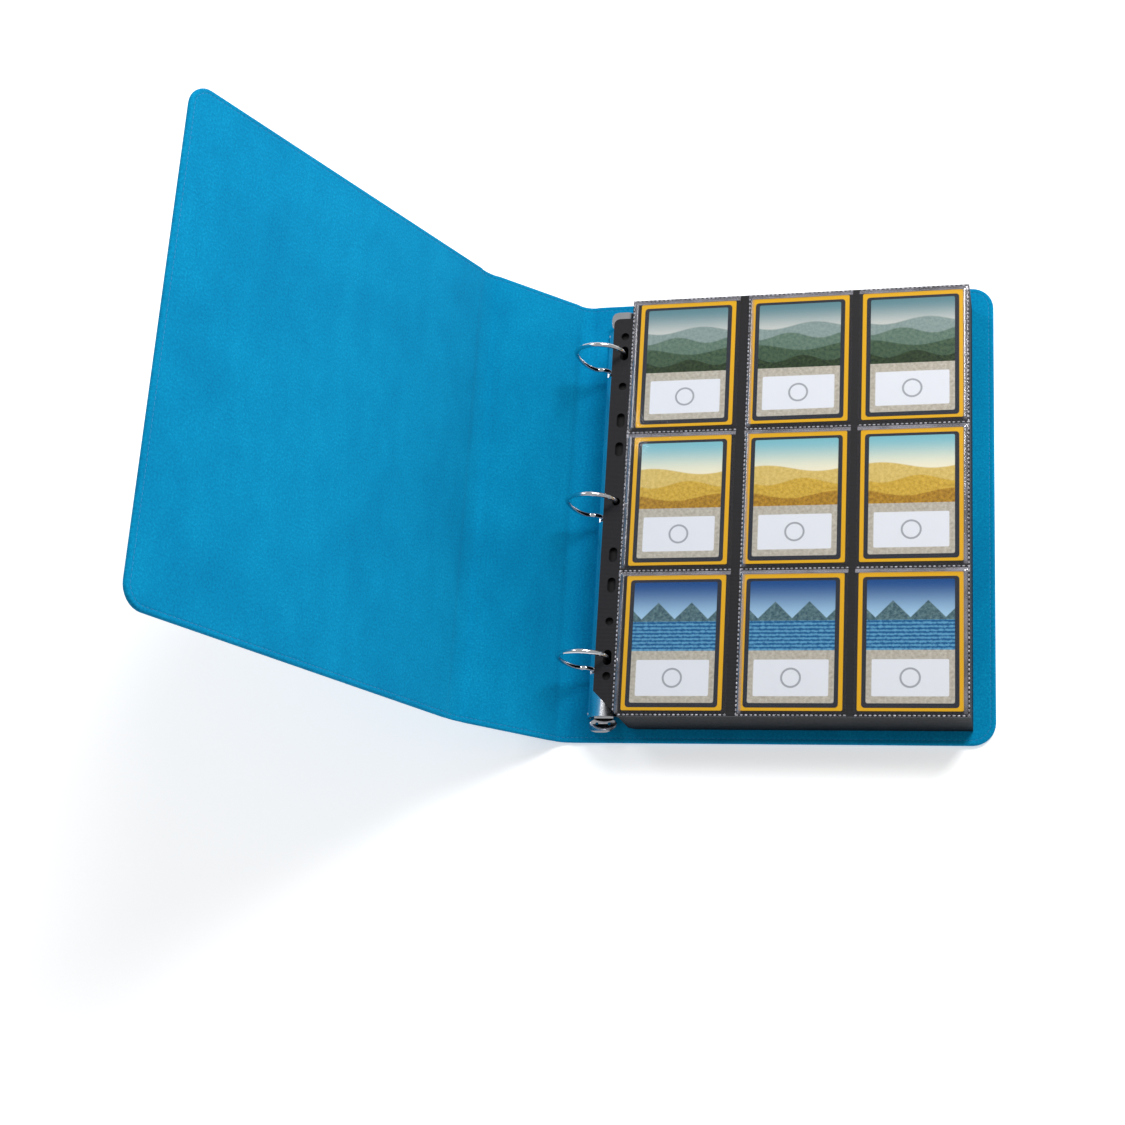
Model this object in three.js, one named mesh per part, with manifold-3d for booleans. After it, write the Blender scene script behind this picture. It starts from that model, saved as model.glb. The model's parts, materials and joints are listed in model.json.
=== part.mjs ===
// Ring binder for trading cards, shown open: back cover flat, spine and front cover
// raised, ring mechanism closed, twenty pocket pages on the rings.
// Millimetres, +Z up. The origin is on the underside of the back cover, half way
// between the back fold and the fore edge. +X runs to the fore edge, +Y along the rings.
import * as THREE from 'three';
import { mergeVertices } from 'three/addons/utils/BufferGeometryUtils.js';
import Module from 'manifold-3d';

const wasm = await Module();
wasm.setup();
const { Manifold, Mesh } = wasm;

// ---- cover ---------------------------------------------------------------
const COVER_HEIGHT = 319;      // along Y
const PANEL_WIDTH = 285;       // fold line to fore edge, front and back alike
const SPINE_WIDTH = 86;        // fold line to fold line
const SKIN = 0.6;              // outer skin and lining, each
const BOARD = 2.4;             // stiff board between them
const CORNER_R = 15;           // rounded fore-edge corners
const HEM = 4;                 // turned-in hem outside the board
const FOLD_GAP = 6;            // fold line to the end of each stiff panel
const FOLD_SKIN = 1.6;         // soft strip in the fold
const BOARD_PLAY = 0.15;
const GLUE = 0.02;             // glue line between two layers
const FOLD_CLEAR = 0.02;       // fold strip to the stiff panels it joins
const SPINE_ANGLE = 49;        // raised from flat, degrees
const FRONT_ANGLE = 69;

// ---- ring mechanism ------------------------------------------------------
const RING_X = 38.6;           // straight legs, from the back fold line
const MECH_Y = -3.5;           // middle ring, from the middle of the cover
const RING_PITCH = 108;
const WIRE = 3;                // ring wire diameter
const RING_R = 16.7;           // round top of each ring
const ARCH_CLEAR = 3.85;       // lowest run of the arch, above the shield
const ARCH_BEND = 5.6;         // bend of the arch down into the shield
const LEG_OFF = 8.5;           // straight leg, from the middle of the shield
const SHIELD_HALF = 11.5;
const SHIELD_END = 32;         // shield beyond the outer rings
const SHIELD_HIGH = 9;
const SHIELD_SHOULDER = 3.6;
const SHIELD_T = 1;
const WIRE_SLOT = 0.75;        // room round the wire where it enters the shield
const SLOT_SILL = 3.3;         // lower edge of those slots, above the lining
const LIP = 1.7;
const LIP_T = 0.9;
const PLATE_T = 1;
const PLATE_END = 5.5;         // shield end to hinge plate end
const PLATE_TILT = 3;          // plates dip to the middle while the rings are shut
const PIVOT_IN = 1.6;          // plate pivot, in from the shield's side
const PIVOT_H = 2.45;
const JOINT_ANGLE = 35;        // where the two halves of a ring meet
const TIP_GAP = 0.1;
const WIRE_PLAY = 0.1;
const LEVER_W = 13;
const LEVER_TAB_W = 19;
const LEVER_PIN_R = 1.1;
const LEVER_PIN_IN = 2.5;      // lever pin, in from the shield's end
const LEVER_PIN_H = 3;
const LEVER_REACH = 14.5;
const LEVER_RISE = 9.5;
const RIVET_OUT = 17;          // rivet, beyond the outer rings
const RIVET_HEAD_R = 3.6;
const RIVET_HEAD_H = 0.9;
const RIVET_R = 1.9;
const RIVET_FOOT_R = 3.2;

// ---- pages ---------------------------------------------------------------
const LOWER_PAGES = 19;
const PAGE_PITCH = 2;
const PAGE_LAP = 0.15;         // space between two filled pages
const STRIP_T = 0.4;
const SLEEVE_W = 66;
const SLEEVE_H = 91;
const POCKET_ROOM_X = 9.85;    // pocket pitch less sleeve, with its weld
const POCKET_ROOM_Y = 7;
const STRIP_OUT = 8.3;         // punched strip, left of the hole line
const STRIP_IN = 4.65;         // hole line to the first pocket
const STRIP_HEAD = 13;         // strip stops short of the page's top
const STRIP_FOOT = 2.2;        // and of its bottom
const SLOPE = 7.85;            // width over which a page drops beside the shield
const HOLE_ROOM = 1.3;         // round the wire
const SLOT_MORE = 4.8;         // slot length less its width
const ROUND_HOLES = [0, 83.5, 120.5];
const SLOT_HOLES = [37.5, 58.5, RING_PITCH];
const SLEEVED_T = 0.6;
const FILM_T = 0.12;
const PAGE_GAP = 0.3;          // lining to the lowest page
const LAYER_GAP = 0.15;
const CARD_GAP = 0.06;
const REAR_T = 0.85;
const WELD = 1.2;
const FILM_ENDS = [[0, -0.95], [4.6, -0.6], [3.8, 0]];   // film edges in each column
const CARD_SHIFT = [1.1, 2, 1.1];                     // cards lie a little to the right

// ---- positions that follow from the sizes ----------------------------------
const T = SKIN + BOARD + SKIN;
const SHIELD_LEN = 2 * (RING_PITCH + SHIELD_END);
const PLATE_LEN = SHIELD_LEN - 2 * PLATE_END;
const LEVER_PIN_Y = SHIELD_LEN / 2 - LEVER_PIN_IN;
const RIVET_Y = RING_PITCH + RIVET_OUT;
const PAGE_T = PAGE_PITCH - PAGE_LAP;
const POCKET_W = SLEEVE_W + POCKET_ROOM_X;
const POCKET_H = SLEEVE_H + POCKET_ROOM_Y;
const HOLE_R = WIRE / 2 + HOLE_ROOM;
const SLOT_LEN = 2 * HOLE_R + SLOT_MORE;
const FOLD_X = -PANEL_WIDTH / 2;
const H2 = COVER_HEIGHT / 2;
const LEG_X = FOLD_X + RING_X;
const MID_X = LEG_X - LEG_OFF;
const PIVOT_U = SHIELD_HALF - PIVOT_IN;
const STACK_Z = T + PAGE_GAP;
const REAR_Z = STACK_Z + (LOWER_PAGES - 1) * PAGE_PITCH + PAGE_T + LAYER_GAP;
const SHEET_Z = REAR_Z + REAR_T;
const AXIS_Z = SHEET_Z + STRIP_T / 2;
const AXIS_X = LEG_X - RING_R;
const CARD_Z = SHEET_Z + STRIP_T + CARD_GAP;
const FILM_Z = CARD_Z + SLEEVED_T + CARD_GAP;
const STRIP_Z0 = T + SHIELD_HIGH + RIVET_HEAD_H + LAYER_GAP * 2 + STRIP_T / 2;
const STRIP_STEP = (REAR_Z - LAYER_GAP - STRIP_T / 2 - STRIP_Z0) / (LOWER_PAGES - 1);
const PAGE_RIGHT = STRIP_IN + 3 * POCKET_W;
const PAGE_H2 = 1.5 * POCKET_H;
const STRIP_TOP = PAGE_H2 - STRIP_HEAD;
const STRIP_LOW = -PAGE_H2 + STRIP_FOOT;

const rad = (d) => d * Math.PI / 180;
const root = new THREE.Group();
root.name = 'card_binder';

// ---- helpers ---------------------------------------------------------------
const MATS = {
  skin: [0x0b86bd, 0.9, 0],
  lining: [0x1190c8, 0.92, 0],
  board: [0x8a8078, 0.95, 0],
  fold: [0x0d80b4, 0.92, 0],
  chrome: [0xd6d8da, 0.12, 1],
  plate: [0xb9bcc0, 0.3, 1],
  page: [0x1d1e21, 0.55, 0],
  rear: [0x2a2c30, 0.5, 0],
  film: [0xdfe6ea, 0.15, 0],
  card: [0xc99a1c, 0.35, 0],
};

function add(name, kind, solid) {
  const m = solid.getMesh();
  const g = new THREE.BufferGeometry();
  const pos = new Float32Array(m.vertProperties.length / m.numProp * 3);
  for (let i = 0; i < pos.length / 3; i++) {
    for (let k = 0; k < 3; k++) pos[3 * i + k] = m.vertProperties[i * m.numProp + k];
  }
  g.setAttribute('position', new THREE.BufferAttribute(pos, 3));
  g.setIndex(new THREE.BufferAttribute(new Uint32Array(m.triVerts), 1));
  g.computeVertexNormals();
  const [color, roughness, metalness] = MATS[kind];
  const material = new THREE.MeshStandardMaterial({ color, roughness, metalness });
  material.name = kind;
  const mesh = new THREE.Mesh(g, material);
  mesh.name = name;
  root.add(mesh);
}

function solidOf(geometry) {
  const bare = new THREE.BufferGeometry();
  bare.setAttribute('position', geometry.getAttribute('position').clone());
  if (geometry.index) bare.setIndex(geometry.index.clone());
  const g = mergeVertices(bare, 1e-5);
  const mesh = new Mesh({
    numProp: 3,
    vertProperties: new Float32Array(g.getAttribute('position').array),
    triVerts: new Uint32Array(g.index.array),
  });
  return new Manifold(mesh);
}

// A flat outline pushed up along Z.
function prism(shape, z0, z1, segments = 8) {
  const g = new THREE.ExtrudeGeometry(shape, {
    depth: z1 - z0, bevelEnabled: false, steps: 1, curveSegments: segments,
  });
  g.translate(0, 0, z0);
  return solidOf(g);
}

function polygon(points) {
  const s = new THREE.Shape();
  s.moveTo(points[0][0], points[0][1]);
  for (const [x, y] of points.slice(1)) s.lineTo(x, y);
  s.closePath();
  return s;
}

function block(x0, x1, y0, y1, z0, z1) {
  return prism(polygon([[x0, y0], [x1, y0], [x1, y1], [x0, y1]]), z0, z1);
}

// A profile drawn in X and Z, pushed along Y.
function alongY(points, y0, y1) {
  const area = points.reduce((a, p, i) => {
    const q = points[(i + 1) % points.length];
    return a + p[0] * q[1] - q[0] * p[1];
  }, 0);
  const ring = area > 0 ? points : [...points].reverse();
  return prism(polygon(ring), 0, y1 - y0)
    .rotate([90, 0, 0])
    .translate([0, y1, 0]);
}

// A profile drawn in Y and Z, pushed along X.
function alongX(points, x0, x1) {
  const area = points.reduce((a, p, i) => {
    const q = points[(i + 1) % points.length];
    return a + p[0] * q[1] - q[0] * p[1];
  }, 0);
  const ring = area > 0 ? points : [...points].reverse();
  return prism(polygon(ring), 0, x1 - x0)
    .rotate([90, 0, 90])
    .translate([x0, 0, 0]);
}

function disc(x, y, r, z0, z1, n = 24) {
  const g = new THREE.CylinderGeometry(r, r, z1 - z0, n);
  g.rotateX(Math.PI / 2);
  g.translate(x, y, (z0 + z1) / 2);
  return solidOf(g);
}

// A hole or slot with round ends, longer along Y.
function slotShape(x, y, length, r, n = 6) {
  const pts = [];
  const reach = length / 2 - r;
  for (let i = 0; i <= n; i++) {
    const a = Math.PI * i / n;
    pts.push([x + r * Math.cos(a), y + reach + r * Math.sin(a)]);
  }
  for (let i = 0; i <= n; i++) {
    const a = Math.PI * (1 + i / n);
    pts.push([x + r * Math.cos(a), y - reach + r * Math.sin(a)]);
  }
  if (reach < 0.01) {
    const round = [];
    for (let i = 0; i < 2 * n; i++) {
      const a = Math.PI * i / n;
      round.push([x + r * Math.cos(a), y + r * Math.sin(a)]);
    }
    return polygon(round);
  }
  return polygon(pts);
}

function turnY(solid, x, z, degrees) {
  return solid.translate([-x, 0, -z]).rotate([0, degrees, 0]).translate([x, 0, z]);
}

class Path extends THREE.Curve {
  constructor(points, startDir, endDir) {
    super();
    this.points = points;
    this.startDir = startDir;
    this.endDir = endDir;
  }
  getPoint(t) {
    const s = t * (this.points.length - 1);
    const i = Math.min(Math.floor(s), this.points.length - 2);
    return this.points[i].clone().lerp(this.points[i + 1], s - i);
  }
  getTangent(t) {
    const s = Math.round(t * (this.points.length - 1));
    if (s === 0) return this.startDir.clone();
    if (s === this.points.length - 1) return this.endDir.clone();
    const a = this.points[Math.max(0, s - 1)];
    const b = this.points[Math.min(this.points.length - 1, s + 1)];
    return b.clone().sub(a).normalize();
  }
  getPointAt(t) {
    return this.getPoint(t);
  }
  getTangentAt(t) {
    return this.getTangent(t);
  }
}

// Round wire through points in the plane y, its ends cut square to the given directions.
function wire(points, y, startDir, endDir) {
  const along = ([x, z]) => new THREE.Vector3(x, 0, z);
  const path = new Path(
    points.map(([x, z]) => new THREE.Vector3(x, y, z)), along(startDir), along(endDir),
  );
  const round = new THREE.Shape();
  const n = 12;
  for (let i = 0; i < n; i++) {
    const a = 2 * Math.PI * (i + 0.5) / n;
    const p = [WIRE / 2 * Math.cos(a), WIRE / 2 * Math.sin(a)];
    if (i === 0) round.moveTo(...p);
    else round.lineTo(...p);
  }
  round.closePath();
  const g = new THREE.ExtrudeGeometry(round, {
    steps: points.length - 1, extrudePath: path, bevelEnabled: false, curveSegments: 1,
  });
  return solidOf(g);
}

// ---- cover panels ----------------------------------------------------------
// Each panel is drawn lying flat with its fold line at X = 0 and its free end at +X.
function panelShape(x0, x1, half, r) {
  const s = new THREE.Shape();
  s.moveTo(x0, -half);
  s.lineTo(x1 - r, -half);
  if (r > 0) s.absarc(x1 - r, -half + r, r, -Math.PI / 2, 0, false);
  s.lineTo(x1, half - r);
  if (r > 0) s.absarc(x1 - r, half - r, r, 0, Math.PI / 2, false);
  s.lineTo(x0, half);
  s.closePath();
  return s;
}

function panel(x0, x1, r, hemEnd) {
  const end = x1 - hemEnd;
  const rin = Math.max(r - HEM, 0);
  const outline = panelShape(x0, x1, H2, r);
  const recess = panelShape(x0 + HEM, end, H2 - HEM, rin);
  const inner = panelShape(
    x0 + HEM + BOARD_PLAY, end - BOARD_PLAY, H2 - HEM - BOARD_PLAY, Math.max(rin - BOARD_PLAY, 0),
  );
  return {
    skin: prism(outline, 0, SKIN + BOARD).subtract(prism(recess, SKIN, SKIN + BOARD + 1)),
    board: prism(inner, SKIN + GLUE, SKIN + BOARD - GLUE),
    lining: prism(outline, SKIN + BOARD + GLUE, T),
  };
}

const rivets = [];
for (const side of [1, -1]) {
  const y = MECH_Y + side * RIVET_Y;
  rivets.push(disc(MID_X, y, RIVET_R + 0.1, 0.5, T + 1, 20)
    .add(disc(MID_X, y, RIVET_FOOT_R + 0.1, 0.5, SKIN + 0.85, 20)));
}

const back = panel(FOLD_GAP, PANEL_WIDTH, CORNER_R, HEM);
for (const k of ['skin', 'board', 'lining']) back[k] = back[k].translate([FOLD_X, 0, 0]);
for (const cut of rivets) {
  back.board = back.board.subtract(cut);
  back.lining = back.lining.subtract(cut);
}
add('back_outer_skin', 'skin', back.skin);
add('back_board', 'board', back.board);
add('back_lining', 'lining', back.lining);

// The spine and front panel are turned over to point to -X, then raised.
const toLeft = (solid, x) => solid.mirror([1, 0, 0]).translate([x, 0, 0]);
const raiseSpine = (solid) => turnY(solid, FOLD_X, T / 2, SPINE_ANGLE);
const raiseFront = (solid) => raiseSpine(
  turnY(solid, FOLD_X - SPINE_WIDTH, T / 2, FRONT_ANGLE - SPINE_ANGLE),
);

const spine = panel(FOLD_GAP, SPINE_WIDTH - FOLD_GAP, 0, HEM);
const front = panel(FOLD_GAP, PANEL_WIDTH, CORNER_R, HEM);
for (const [k, kind, label] of [
  ['skin', 'skin', 'outer_skin'], ['board', 'board', 'board'], ['lining', 'lining', 'lining'],
]) {
  add('spine_' + label, kind, raiseSpine(toLeft(spine[k], FOLD_X)));
  add('front_' + label, kind, raiseFront(toLeft(front[k], FOLD_X - SPINE_WIDTH)));
}

// Soft strip bent round a fold; drawn at the fold line with the bend towards -X.
function foldStrip(angle) {
  const reach = FOLD_GAP - FOLD_CLEAR;
  const r = reach / Math.tan(rad(angle) / 2);
  const steps = 8;
  const lower = [];
  const upper = [];
  for (let i = 0; i <= steps; i++) {
    const a = -Math.PI / 2 - rad(angle) * i / steps;
    const lo = r + FOLD_SKIN / 2;
    const hi = r - FOLD_SKIN / 2;
    lower.push([reach + lo * Math.cos(a), r + lo * Math.sin(a)]);
    upper.unshift([reach + hi * Math.cos(a), r + hi * Math.sin(a)]);
  }
  return alongY([...lower, ...upper], -H2, H2);
}
add('fold_strip_back', 'fold', foldStrip(SPINE_ANGLE).translate([FOLD_X, 0, T / 2]));
add('fold_strip_front', 'fold', raiseSpine(
  foldStrip(FRONT_ANGLE - SPINE_ANGLE).translate([FOLD_X - SPINE_WIDTH, 0, T / 2]),
));

// ---- ring mechanism ----------------------------------------------------------
// Drawn about the middle of the shield's foot, then set on the lining.
const place = (solid) => solid.translate([MID_X, MECH_Y, T]);

function shieldProfile() {
  const drop = SHIELD_HIGH - SHIELD_SHOULDER;
  const big = (SHIELD_HALF ** 2 + drop ** 2) / (2 * drop);
  const cz = SHIELD_HIGH - big;
  const small = big - SHIELD_T;
  const inner = SHIELD_HALF - SHIELD_T;
  const pts = [];
  const n = 14;
  const a1 = Math.asin(SHIELD_HALF / big);
  for (let i = 0; i <= n; i++) {
    const a = a1 - 2 * a1 * i / n;
    pts.push([big * Math.sin(a), cz + big * Math.cos(a)]);
  }
  pts.push([-SHIELD_HALF, 0], [-SHIELD_HALF + LIP, 0], [-SHIELD_HALF + LIP, LIP_T]);
  pts.push([-inner, LIP_T]);
  const a2 = Math.asin(inner / small);
  for (let i = 0; i <= n; i++) {
    const a = -a2 + 2 * a2 * i / n;
    pts.push([small * Math.sin(a), cz + small * Math.cos(a)]);
  }
  pts.push([inner, LIP_T], [SHIELD_HALF - LIP, LIP_T], [SHIELD_HALF - LIP, 0]);
  pts.push([SHIELD_HALF, 0]);
  return pts;
}

let shield = alongY(shieldProfile(), -SHIELD_LEN / 2, SHIELD_LEN / 2);
const RING_YS = { top: RING_PITCH, middle: 0, bottom: -RING_PITCH };
const slot = WIRE / 2 + WIRE_SLOT;
for (const y of Object.values(RING_YS)) {
  shield = shield.subtract(block(
    LEG_OFF - slot, SHIELD_HALF + 1, y - slot, y + slot, SLOT_SILL, SHIELD_HIGH + 1,
  ));
  shield = shield.subtract(block(
    -SHIELD_HALF - 1, -LEG_OFF + slot, y - slot, y + slot, SLOT_SILL, SHIELD_HIGH + 1,
  ));
}
for (const side of [1, -1]) {
  shield = shield.subtract(disc(0, side * RIVET_Y, RIVET_R + 0.1, 4, SHIELD_HIGH + 1, 20));
  const bore = disc(0, 0, LEVER_PIN_R + 0.05, -SHIELD_HALF - 1, SHIELD_HALF + 1, 16)
    .rotate([0, 90, 0])
    .translate([0, side * LEVER_PIN_Y, LEVER_PIN_H]);
  shield = shield.subtract(bore);
}
add('ring_shield', 'chrome', place(shield));

// Hinge plates: each is drawn level with its pivot at the shield's side, then tilted.
function plate(side) {
  let p = side > 0
    ? block(0.2, PIVOT_U + 0.4, -PLATE_LEN / 2, PLATE_LEN / 2, -PLATE_T / 2, PLATE_T / 2)
    : block(-PIVOT_U - 0.4, -0.2, -PLATE_LEN / 2, PLATE_LEN / 2, -PLATE_T / 2, PLATE_T / 2);
  for (const end of [1, -1]) {
    p = p.subtract(disc(0, end * RIVET_Y, RIVET_R + 1, -1, 1, 20));
  }
  for (const y of Object.values(RING_YS)) {
    p = p.subtract(disc(side * LEG_OFF, y, WIRE / 2 + WIRE_PLAY, -1, 1, 16));
  }
  return turnY(p.translate([0, 0, PIVOT_H]), side * PIVOT_U, PIVOT_H, side * -PLATE_TILT);
}
add('hinge_plate_left', 'plate', place(plate(-1)));
add('hinge_plate_right', 'plate', place(plate(1)));

// Ring halves. AXIS is the centre of the round top, about which a page turns.
const axisU = AXIS_X - MID_X;
const axisW = AXIS_Z - T;
const onTop = (deg) => [
  axisU + RING_R * Math.cos(rad(deg)),
  axisW + RING_R * Math.sin(rad(deg)),
];
const foot = PIVOT_H - PLATE_T / 2;

function postPoints() {
  const pts = [];
  for (let i = 0; i <= 4; i++) pts.push([LEG_OFF, foot + (axisW - foot) * i / 4]);
  const end = JOINT_ANGLE - TIP_GAP / RING_R * 180 / Math.PI;
  for (let i = 1; i <= 5; i++) pts.push(onTop(end * i / 5));
  return pts;
}

function archPoints() {
  const pts = [];
  for (let i = 0; i <= 16; i++) pts.push(onTop(JOINT_ANGLE + (180 - JOINT_ANGLE) * i / 16));
  const bend = ARCH_BEND;
  const endU = -LEG_OFF - bend;
  const lowW = SHIELD_HIGH + ARCH_CLEAR;
  const leftU = axisU - RING_R;
  for (let i = 1; i <= 10; i++) {
    const a = rad(90 * i / 10);
    pts.push([endU + (leftU - endU) * Math.cos(a), axisW + (lowW - axisW) * Math.sin(a)]);
  }
  for (let i = 1; i <= 4; i++) {
    const a = rad(90 * i / 4);
    pts.push([endU + bend * Math.sin(a), lowW - bend + bend * Math.cos(a)]);
  }
  const last = pts[pts.length - 1][1];
  for (let i = 1; i <= 2; i++) pts.push([-LEG_OFF, last + (foot - last) * i / 2]);
  return pts;
}

for (const [label, y] of Object.entries(RING_YS)) {
  const cut = [-Math.sin(rad(JOINT_ANGLE)), Math.cos(rad(JOINT_ANGLE))];
  add('ring_post_' + label, 'chrome', place(wire(postPoints(), y, [0, 1], cut)));
  add('ring_arch_' + label, 'chrome', place(wire(archPoints(), y, cut, [0, -1])));
}

// Opening levers, drawn pointing to +Y with the pin at the origin.
function lever() {
  const side = [
    [-3.8, -2.8], [0.4, -2.8], [1.8, -2.3], [3.3, -1.7], [8.2, 1.2],
    [LEVER_REACH - 1.6, LEVER_RISE - 3.2], [LEVER_REACH, LEVER_RISE - 0.4],
    [LEVER_REACH - 1.1, LEVER_RISE], [LEVER_REACH - 2.9, LEVER_RISE - 1.9],
    [7.4, 3.2], [3.2, 1.7], [1.4, 2.3], [-1.2, 2.3], [-2.1, 1], [-2.1, -2], [-3.8, -2],
  ];
  const body = alongX(side, -LEVER_TAB_W / 2, LEVER_TAB_W / 2);
  const t = LEVER_TAB_W / 2;
  const w = LEVER_W / 2;
  const plan = new THREE.Shape();
  plan.moveTo(-2, -5);
  plan.lineTo(2, -5);
  plan.lineTo(2, -2.1);
  plan.lineTo(w, -2.1);
  plan.lineTo(w, 3.6);
  plan.bezierCurveTo(w, 5, t, 5, t, 7.5);
  plan.bezierCurveTo(t, LEVER_REACH - 2, t - 3, LEVER_REACH + 0.2, 0, LEVER_REACH + 0.2);
  plan.bezierCurveTo(-t + 3, LEVER_REACH + 0.2, -t, LEVER_REACH - 2, -t, 7.5);
  plan.bezierCurveTo(-t, 5, -w, 5, -w, 3.6);
  plan.lineTo(-w, -2.1);
  plan.lineTo(-2, -2.1);
  plan.closePath();
  let solid = body.intersect(prism(plan, -4, LEVER_RISE + 2, 5));
  const bore = disc(0, 0, LEVER_PIN_R + 0.08, -t - 1, t + 1, 16).rotate([0, 90, 0]);
  solid = solid.subtract(bore);
  for (const x of [-4.2, 4.2]) {
    solid = solid.subtract(disc(x, 7.2, 1.1, -4, LEVER_RISE + 2, 12));
  }
  return solid;
}
const pin = disc(0, 0, LEVER_PIN_R, -SHIELD_HALF, SHIELD_HALF, 16).rotate([0, 90, 0]);
add('lever_top', 'chrome', place(lever().translate([0, LEVER_PIN_Y, LEVER_PIN_H])));
add('lever_bottom', 'chrome', place(
  lever().rotate([0, 0, 180]).translate([0, -LEVER_PIN_Y, LEVER_PIN_H]),
));
add('lever_pin_top', 'plate', place(pin.translate([0, LEVER_PIN_Y, LEVER_PIN_H])));
add('lever_pin_bottom', 'plate', place(pin.translate([0, -LEVER_PIN_Y, LEVER_PIN_H])));

// Rivets: dished head on the shield, stem down through the board, upset foot inside.
function rivet() {
  const footZ = SKIN - T + 0.05;
  const profile = [
    [0, footZ], [RIVET_FOOT_R, footZ], [RIVET_FOOT_R, footZ + 0.7], [RIVET_R, footZ + 0.7],
    [RIVET_R, SHIELD_HIGH], [RIVET_HEAD_R, SHIELD_HIGH],
    [RIVET_HEAD_R, SHIELD_HIGH + RIVET_HEAD_H * 0.4],
    [RIVET_HEAD_R - 0.8, SHIELD_HIGH + RIVET_HEAD_H],
    [RIVET_HEAD_R - 1.5, SHIELD_HIGH + RIVET_HEAD_H],
    [RIVET_HEAD_R - 2.2, SHIELD_HIGH + RIVET_HEAD_H * 0.3],
    [0, SHIELD_HIGH + RIVET_HEAD_H * 0.3],
  ];
  const g = new THREE.LatheGeometry(profile.map(([r, z]) => new THREE.Vector2(r, z)), 20);
  g.rotateX(Math.PI / 2);
  return solidOf(g);
}
add('rivet_top', 'chrome', place(rivet().translate([0, RIVET_Y, 0])));
add('rivet_bottom', 'chrome', place(rivet().translate([0, -RIVET_Y, 0])));

// ---- pages -------------------------------------------------------------------
// Drawn with the hole line at X = 0 and the middle hole at Y = 0.
const onRings = (solid) => solid.translate([LEG_X, MECH_Y, 0]);

function stripSolid(z) {
  const s = new THREE.Shape();
  s.moveTo(-STRIP_OUT, STRIP_LOW);
  s.lineTo(STRIP_IN, STRIP_LOW);
  s.lineTo(STRIP_IN, STRIP_TOP);
  s.lineTo(-STRIP_OUT + 4, STRIP_TOP);
  s.absarc(-STRIP_OUT + 4, STRIP_TOP - 4, 4, Math.PI / 2, Math.PI, false);
  s.closePath();
  return prism(s, z - STRIP_T / 2, z + STRIP_T / 2, 4);
}

// The lower left corner is cut off at an angle.
const cornerCut = prism(polygon([
  [-STRIP_OUT - 6, -PAGE_H2 - 8], [STRIP_IN + 12, -PAGE_H2 - 8],
  [-STRIP_OUT - 6, STRIP_LOW + STRIP_OUT + 12],
]), 0, 80);

function punch(solid, z, rounds, slots, n) {
  let out = solid;
  for (const y of rounds) {
    out = out.subtract(prism(slotShape(0, y, 2 * HOLE_R, HOLE_R, n), z - 1, z + 1));
  }
  for (const y of slots) {
    out = out.subtract(prism(slotShape(0, y, SLOT_LEN, HOLE_R, n), z - 1, z + 1));
  }
  return out;
}
const bothWays = (list) => list.flatMap((y) => (y === 0 ? [0] : [y, -y]));

function lowerPage(k) {
  const zs = STRIP_Z0 + k * STRIP_STEP;
  const zp = STACK_Z + k * PAGE_PITCH;
  const h = STRIP_T / 2;
  const profile = [
    [STRIP_IN - 0.8, zs - h], [STRIP_IN, zs - h], [STRIP_IN + SLOPE, zp],
    [PAGE_RIGHT, zp], [PAGE_RIGHT, zp + PAGE_T], [STRIP_IN + SLOPE, zp + PAGE_T],
    [STRIP_IN, zs + h], [STRIP_IN - 0.8, zs + h],
  ];
  let page = stripSolid(zs)
    .add(alongY(profile, STRIP_LOW, PAGE_H2).subtract(
      block(STRIP_IN - 2, STRIP_IN, STRIP_TOP, PAGE_H2 + 1, 0, 80),
    ))
    .add(alongY(profile.map(([x, z]) => [Math.max(x, STRIP_IN + 0.001), z]), -PAGE_H2, STRIP_LOW + 1))
    .subtract(cornerCut);
  const all = k === LOWER_PAGES - 1;
  page = punch(page, zs, all ? bothWays(ROUND_HOLES) : [0],
    all ? bothWays(SLOT_HOLES) : [RING_PITCH, -RING_PITCH], 5);
  return page;
}
for (let k = 0; k < LOWER_PAGES; k++) {
  add('page_' + String(k + 1).padStart(2, '0'), 'page', onRings(lowerPage(k)));
}

// Top page: backing sheet with the punched strip, pockets in front and behind.
let sheet = stripSolid(AXIS_Z)
  .add(block(STRIP_IN - 0.8, PAGE_RIGHT, STRIP_LOW, STRIP_TOP, SHEET_Z, SHEET_Z + STRIP_T))
  .add(block(STRIP_IN, PAGE_RIGHT, -PAGE_H2, PAGE_H2, SHEET_Z, SHEET_Z + STRIP_T))
  .subtract(cornerCut);
sheet = punch(sheet, AXIS_Z, bothWays(ROUND_HOLES), bothWays(SLOT_HOLES), 8);
add('top_page_sheet', 'page', onRings(sheet));
add('top_page_rear_pockets', 'rear', onRings(
  block(STRIP_IN, PAGE_RIGHT, -PAGE_H2, PAGE_H2, REAR_Z, SHEET_Z).subtract(cornerCut),
));

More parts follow.
